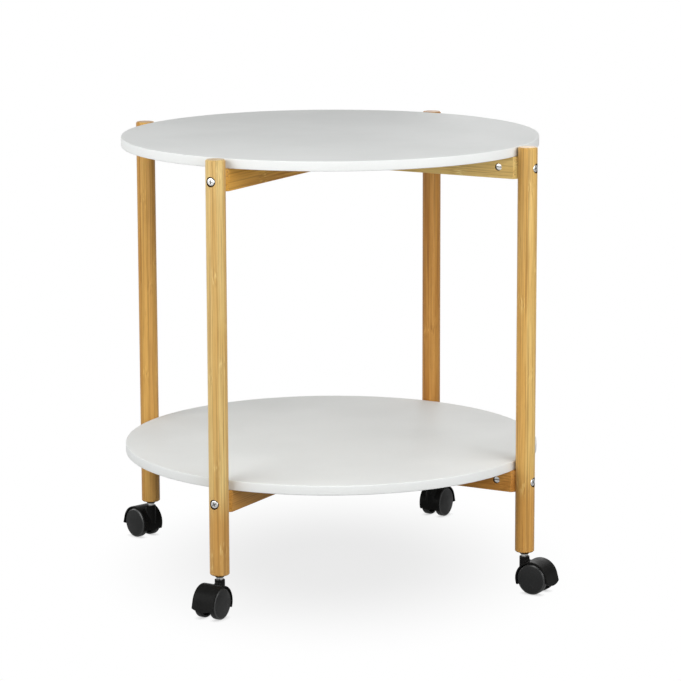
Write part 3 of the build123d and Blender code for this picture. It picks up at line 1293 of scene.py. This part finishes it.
@dataclass(frozen=True)
class Wheel:
    """A moulded wheel: a domed face with a bevelled rim, a smooth tread and a ribbed cup round its hub.

    The rounds go from the face over the bevel, the tread, the cup and the hub to the bore.
    """

    palette: Palette
    copies: RingOfCopies
    corner: Corner
    side: Side
    inner: float = 6.4
    outer: float = 13.8
    face_wall: float = 2.0
    dome: float = 1.1
    dome_steps: int = 12
    bevel_r: float = 1.7
    bevel_w: float = 1.0
    rim_t: float = 2.4
    hub_d: float = 9.2
    hub_end: float = 3.0
    bore_d: float = 5.1
    rounds: tuple[float, ...] = (0.5, 0.5, 0.6, 0.3, 0.5, 0.4, 0.3, 0.2)
    ribs: int = 6
    rib_t: float = 1.2
    rib_inset: float = 1.5
    segments: int = 128

    @property
    def node(self) -> str:
        """The wheel's name in the construction, which is its body's name too."""
        return f"{self.corner.value}_wheel_{self.side.value}"

    def place(self) -> Matrix:
        """From the wheel's own axis, +Z outwards from the middle of the caster, to its hub.

        Returns:
            The placing matrix.
        """
        spin = next(j for j in frame["joints"] if j["name"] == f"{self.corner.value}_spin_{self.side.value}")
        outwards = Vector(spin["axis"]) * (1 if self.side is Side.A else -1)
        turn = outwards.to_track_quat("Z", "Y").to_matrix().to_4x4()
        return Matrix.Translation(Vector(spin["pos_m"]) / MM) @ turn

    def shape(self) -> Mesh:
        """The wheel with its ribs.

        Returns:
            Its finished mesh.
        """
        low, high = corners_of(self.node)
        radius = (high.z - low.z) / 2
        face = radius - self.bevel_r
        cup = radius - self.rim_t
        floor = self.outer - self.face_wall
        hub = self.hub_d / 2
        bore = self.bore_d / 2
        crown = (face**2 + self.dome**2) / (2 * self.dome)
        reach = [face * step / self.dome_steps for step in range(self.dome_steps)]
        dome = [(r, self.outer + self.dome - crown + math.sqrt(crown**2 - r**2), 0) for r in reach]
        edges = [
            (face, self.outer),
            (radius, self.outer - self.bevel_w),
            (radius, self.inner),
            (cup, self.inner),
            (cup, floor),
            (hub, floor),
            (hub, self.hub_end),
            (bore, self.hub_end),
        ]
        rounded = [(*edge, edge_round) for edge, edge_round in zip(edges, self.rounds)]
        outline = eased([*dome, *rounded, (bore, floor, 0), (0, floor, 0)])
        body = finished(turned(outline, self.segments), self.palette.wheel, self.palette.bevel_gloss_and_highlight)
        # Faces on the bevel take the bevel finish, whose lighter colour paints part of its highlight.
        for part in body.polygons:
            on_bevel = part.center.xy.length > face and part.center.z > self.outer - self.bevel_w
            part.material_index = int(on_bevel)
        length = cup - hub + self.rib_t
        rib = bar(Vector((length, self.rib_t, floor - self.inner - self.rib_inset + self.face_wall / 2)))
        ring = Ring(self.ribs, (cup + hub) / 2, self.inner + self.rib_inset)
        body = joined(body, self.copies.run(rib, ring, self.palette.wheel), Join.ADD)
        return moved(shaded(body), self.place())

    def dress(self) -> None:
        """Settle the wheel on its own body."""
        Piece(f"{self.node}_moulding", self.shape(), Slot.WHEEL, self.node, (self.node,)).settle()


# Studio


@dataclass(frozen=True)
class Viewpoint:
    """The photograph's camera, in millimetres and degrees, with its focal length in pixels of the frame."""

    distance: float = 3552.96
    height: float = 950.76
    bearing: float = -105.525
    dip: float = 10.893
    yaw: float = 0.181
    roll: float = -0.186
    focal_px: float = 3108.26
    frame_px: float = 681.0
    sight_m: float = 100.0

    def set_up(self) -> None:
        """Make the camera and give it to the scene."""
        lens = bpy.data.cameras.new("viewpoint")
        lens.lens = self.focal_px * lens.sensor_width / self.frame_px
        lens.clip_end = self.sight_m
        heading = math.radians(self.bearing)
        across = self.distance * math.cos(heading)
        along = self.distance * math.sin(heading)
        facing = about_z(self.bearing + 90 - self.yaw)
        facing @= Matrix.Rotation(math.radians(90 - self.dip), 4, "X")
        facing @= about_z(self.roll)
        camera = put("viewpoint", lens)
        camera.matrix_world = Matrix.Translation(Vector((across, along, self.height)) * MM) @ facing
        bpy.context.scene.camera = camera


@dataclass(frozen=True)
class Softbox:
    """A large soft lamp that faces the table, in metres and degrees."""

    name: str
    bearing: float
    elevation: float
    distance: float
    width: float
    height: float
    watts: float
    aim: float = 0.36

    def set_up(self) -> None:
        """Hang the lamp."""
        lamp = bpy.data.lights.new(self.name, "AREA")
        lamp.shape = "RECTANGLE"
        lamp.size = self.width
        lamp.size_y = self.height
        lamp.energy = self.watts
        turn = math.radians(self.bearing)
        lift = math.radians(self.elevation)
        level = math.cos(lift)
        away = Vector((math.cos(turn) * level, math.sin(turn) * level, math.sin(lift)))
        stand = Vector((0, 0, self.aim)) + away * self.distance
        facing = away.to_track_quat("Z", "Y").to_matrix().to_4x4()
        put(self.name, lamp).matrix_world = Matrix.Translation(stand) @ facing


@dataclass(frozen=True)
class Studio:
    """A white floor with a light shadow under the table, partly painted, soft lamps and an even surrounding
    light.
    """

    floor_half: float = 30.0
    floor_colour: Colour = (0.25, 0.25, 0.25)
    floor_gloss: float = 0.5
    shadow_share: float = 0.20
    shadow_bearing: float = -105.5
    shadow_depth: float = 0.40
    shadow_width: float = 0.30
    shadow_core: float = 0.2
    contact_reach: float = 0.006
    contact_share: float = 0.5
    contact_samples: int = 2
    surround: float = 0.35
    backdrop_rise: Span = (0.30, 0.60)
    backdrop_bearing: float = 135.0
    backdrop_side: Span = (-0.20, 0.30)
    lamps: tuple[Softbox, ...] = (
        Softbox("left_softbox", -160.0, 20.0, 1.5, 1.4, 1.2, 15.2),
        Softbox("front_softbox", -80.0, 14.0, 1.8, 1.4, 1.2, 16.0),
        Softbox("right_softbox", -50.0, 30.0, 1.8, 1.2, 1.0, 9.8),
        Softbox("back_left_softbox", 138.0, 13.0, 1.8, 1.2, 0.6, 4.5),
        Softbox("back_right_softbox", 50.0, 13.0, 1.8, 1.2, 0.6, 4.0),
    )

    @staticmethod
    def _seen(sheet: Sheet, gloss: object) -> Socket:
        """Where the bare background shows.

        Args:
            sheet: the sheet it is worked out on.
            gloss: the share of it that gloss sees.

        Returns:
            1 for rays from the camera and through glass, and the share for those from gloss.
        """
        rays = sheet.add("ShaderNodeLightPath").outputs
        seen = sheet.math("MAXIMUM", rays["Is Camera Ray"], rays["Is Transmission Ray"])
        return sheet.math("MAXIMUM", seen, sheet.math("MULTIPLY", rays["Is Glossy Ray"], gloss))

    def floor(self) -> None:
        """Lay the floor: white where it is seen, with a painted oval of shade under the table through which
        part of the table's real shadow shows, and clear from below.

        Where the wheels stand, a thin painted contact shadow, found by occlusion, shows more of the floor's
        own dark colour.
        """
        material = bpy.data.materials.new("studio_floor")
        material.use_nodes = True
        sheet = Sheet(material.node_tree)
        matt = sheet.add("ShaderNodeBsdfDiffuse", {"Color": (*self.floor_colour, 1.0)}).outputs[0]
        white = sheet.add("ShaderNodeEmission", {"Color": WHITE, "Strength": 1.0}).outputs[0]
        # Painted shade: inside an oval under the table the dark matt floor is mixed in, which also carries
        # the table's real shadow.
        oval = {
            "Vector": sheet.add("ShaderNodeTexCoord").outputs["Object"],
            "Rotation": (0, 0, math.radians(self.shadow_bearing)),
            "Scale": (self.shadow_depth, self.shadow_width, 1),
        }
        across = sheet.add("ShaderNodeMapping", oval, vector_type="TEXTURE").outputs[0]
        reach = sheet.add("ShaderNodeVectorMath", {0: across}, operation="LENGTH").outputs["Value"]
        fade = sheet.between(reach, self.shadow_core, 1.0)
        shadow = sheet.math("MULTIPLY", sheet.math("SUBTRACT", 1.0, fade), self.shadow_share)
        # Painted contact shadow: where occlusion finds the wheels close, more of the dark matt floor shows.
        nearness = {"Distance": self.contact_reach}
        clear = sheet.add("ShaderNodeAmbientOcclusion", nearness, samples=self.contact_samples).outputs["AO"]
        contact = sheet.math("MULTIPLY", sheet.math("SUBTRACT", 1.0, clear), self.contact_share)
        share = sheet.math("MAXIMUM", shadow, contact)
        shown = sheet.add("ShaderNodeMixShader", {0: share, 1: white, 2: matt}).outputs[0]
        seen = self._seen(sheet, self.floor_gloss)
        above = sheet.add("ShaderNodeMixShader", {0: seen, 1: matt, 2: shown}).outputs[0]
        below = sheet.add("ShaderNodeBsdfTransparent").outputs[0]
        under = sheet.add("ShaderNodeNewGeometry").outputs["Backfacing"]
        surface = sheet.add("ShaderNodeMixShader", {0: under, 1: above, 2: below}).outputs[0]
        sheet.add("ShaderNodeOutputMaterial", {"Surface": surface})
        half = self.floor_half
        mesh = bpy.data.meshes.new("studio_floor")
        rim = [(-half, -half, 0), (half, -half, 0), (half, half, 0), (-half, half, 0)]
        mesh.from_pydata(rim, [], [(0, 1, 2, 3)])
        floor = put("studio_floor", finished(mesh, material))

    def air(self) -> None:
        """Set the surrounding light, which shows white, though to gloss only behind and on the left."""
        world = bpy.data.worlds.new("studio_air")
        world.use_nodes = True
        sheet = Sheet(world.node_tree)
        way = sheet.add("ShaderNodeTexCoord").outputs["Generated"]
        rise = sheet.add("ShaderNodeSeparateXYZ", {0: way}).outputs["Z"]
        ceiling = sheet.between(rise, *self.backdrop_rise)
        heading = math.radians(self.backdrop_bearing)
        facing = {0: way, 1: (math.cos(heading), math.sin(heading), 0)}
        side = sheet.add("ShaderNodeVectorMath", facing, operation="DOT_PRODUCT").outputs["Value"]
        wall = sheet.between(side, *self.backdrop_side)
        seen = self._seen(sheet, sheet.math("MULTIPLY", wall, sheet.math("SUBTRACT", 1.0, ceiling)))
        lit = sheet.add("ShaderNodeBackground", {"Color": WHITE, "Strength": self.surround}).outputs[0]
        shown = sheet.add("ShaderNodeBackground", {"Color": WHITE, "Strength": 1.0}).outputs[0]
        surface = sheet.add("ShaderNodeMixShader", {0: seen, 1: lit, 2: shown}).outputs[0]
        sheet.add("ShaderNodeOutputWorld", {"Surface": surface})
        bpy.context.scene.world = world

    def set_up(self) -> None:
        """Lay the floor, light the table and set how light becomes colour."""
        self.floor()
        self.air()
        for lamp in self.lamps:
            lamp.set_up()
        bpy.context.scene.view_settings.view_transform = "Standard"


def main() -> None:
    """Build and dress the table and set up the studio."""
    logging.basicConfig(level=logging.INFO, format="%(name)s: %(message)s")
    Viewpoint().set_up()
    Studio().set_up()
    palette = Palette()
    copies = RingOfCopies()
    for node in ("top_panel", "shelf_panel"):
        Panel(palette, node).dress()
    rails = [corners_of(f"{level.value}_rail_{Run.A.value}") for level in Level]
    bolt_heights = tuple((low.z + high.z) / 2 for low, high in rails)
    legs = [Leg(palette, corner, bolt_heights) for corner in Corner]
    leg_circle = legs[0].axis().length
    for leg in legs:
        leg.dress()
        Foot(palette, leg).dress()
        for side in Side:
            Wheel(palette, copies, leg.corner, side).dress()
        dress_node(f"{leg.corner.value}_housing", palette.hood)
        dress_node(f"{leg.corner.value}_axle", palette.steel)
    dress_node("stem_clips", palette.steel)
    for seed, level in enumerate(Level, start=1):
        for run in Run:
            Rail(palette, level, run, leg_circle).dress()
        Fasteners(palette, copies, level, leg_circle, seed).dress()


if __name__ == "__main__":
    main()
